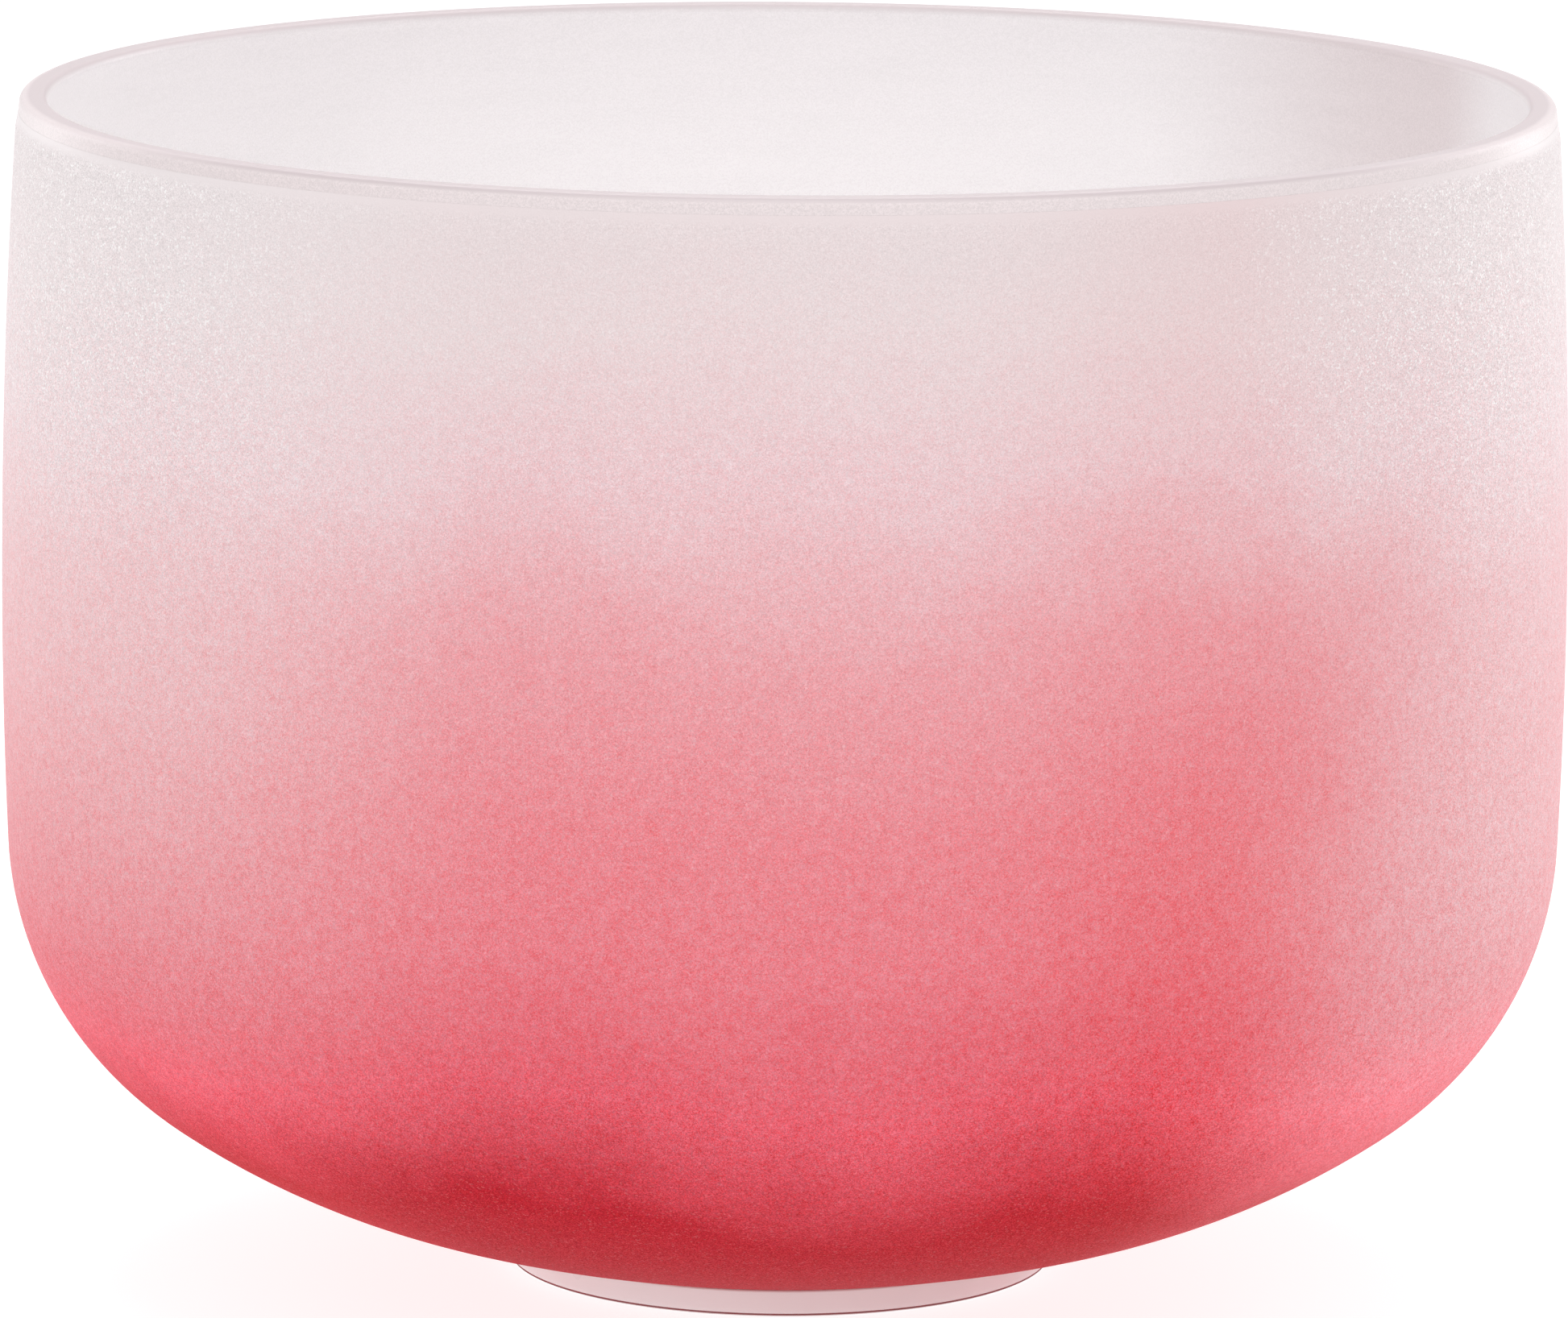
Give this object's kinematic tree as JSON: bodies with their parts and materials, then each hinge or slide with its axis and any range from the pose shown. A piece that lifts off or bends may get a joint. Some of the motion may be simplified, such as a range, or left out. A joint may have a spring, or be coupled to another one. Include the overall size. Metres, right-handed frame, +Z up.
{
  "type": "singing bowl",
  "caption": "Round frosted quartz singing bowl, white at the lip and fading to deep red below, resting on a clear silicone ring.",
  "frame": {"origin": "on the bowl's axis, on the surface that the silicone ring stands on", "axes": "+Z up along the axis of revolution; the bowl is round, so +X and +Y are alike"},
  "size_m": [0.254, 0.254, 0.1923],
  "materials": {
    "satin_quartz": "satin",
    "colour_frost": "matte",
    "clear_silicone": "satin"
  },
  "bodies": {
    "ring": {"silicone_ring": "clear_silicone"},
    "bowl": {"crystal_bowl": "satin_quartz", "colour_frost_coat": "colour_frost"}
  },
  "joints": [
    {"name": "bowl_lift", "type": "slide", "parent": "ring", "child": "bowl", "axis": [0, 0, 1], "range_m": [0, 0.06]}
  ]
}
